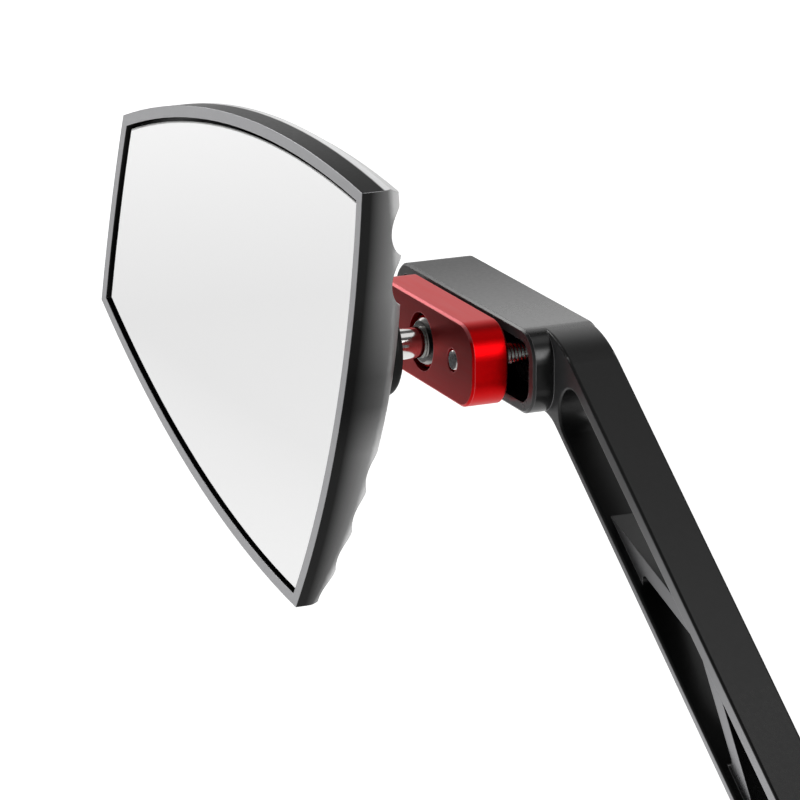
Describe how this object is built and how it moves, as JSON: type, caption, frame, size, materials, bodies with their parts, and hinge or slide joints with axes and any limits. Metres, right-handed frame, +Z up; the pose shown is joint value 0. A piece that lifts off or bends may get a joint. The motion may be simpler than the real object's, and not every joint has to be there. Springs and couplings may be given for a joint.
{
  "type": "motorcycle mirror",
  "caption": "Motorcycle bar mirror: blade-shaped head with a fluted back on a clamped ball stud, carried by a bent truss arm with a threaded base stud.",
  "frame": {"origin": "On the mounting stud's axis, in the plane where the washer rests on the bracket that carries the mirror.", "axes": "+Z points up from the bracket, the stud points along -Z; the arm rises towards -X; the glass faces -Y."},
  "size_m": [0.2833, 0.0636, 0.1801],
  "materials": {
    "black_anodised": "satin black anodised",
    "red_anodised": "satin red anodised",
    "dark_steel": "dark zinc plated",
    "polished_steel": "polished",
    "seat_plastic": "moulded",
    "mirror_glass": "silvered glass",
    "pad_foam": "adhesive foam"
  },
  "bodies": {
    "arm": {"mirror_arm": "black_anodised", "clamp_plate": "red_anodised", "clamp_screws": "dark_steel", "mounting_stud": "dark_steel", "mount_washer": "dark_steel", "mount_lock_nut": "dark_steel"},
    "seat": {"ball_seat": "seat_plastic"},
    "stud": {"ball_stud": "polished_steel"},
    "head": {"mirror_housing": "black_anodised", "mirror_glass": "mirror_glass", "glass_pad": "pad_foam"}
  },
  "joints": [
    {"name": "head_pan", "type": "hinge", "parent": "arm", "child": "seat", "pos_m": [-0.16526, -0.01415, 0.11002], "axis": [0, 0, 1], "range_deg": [-15, 15]},
    {"name": "head_tilt", "type": "hinge", "parent": "seat", "child": "stud", "pos_m": [-0.16526, -0.01415, 0.11002], "axis": [1, 0, 0], "range_deg": [-15, 15]},
    {"name": "head_roll", "type": "hinge", "parent": "stud", "child": "head", "pos_m": [-0.16526, -0.01415, 0.11002], "axis": [0, 1, 0], "range_deg": [-30, 30]}
  ]
}
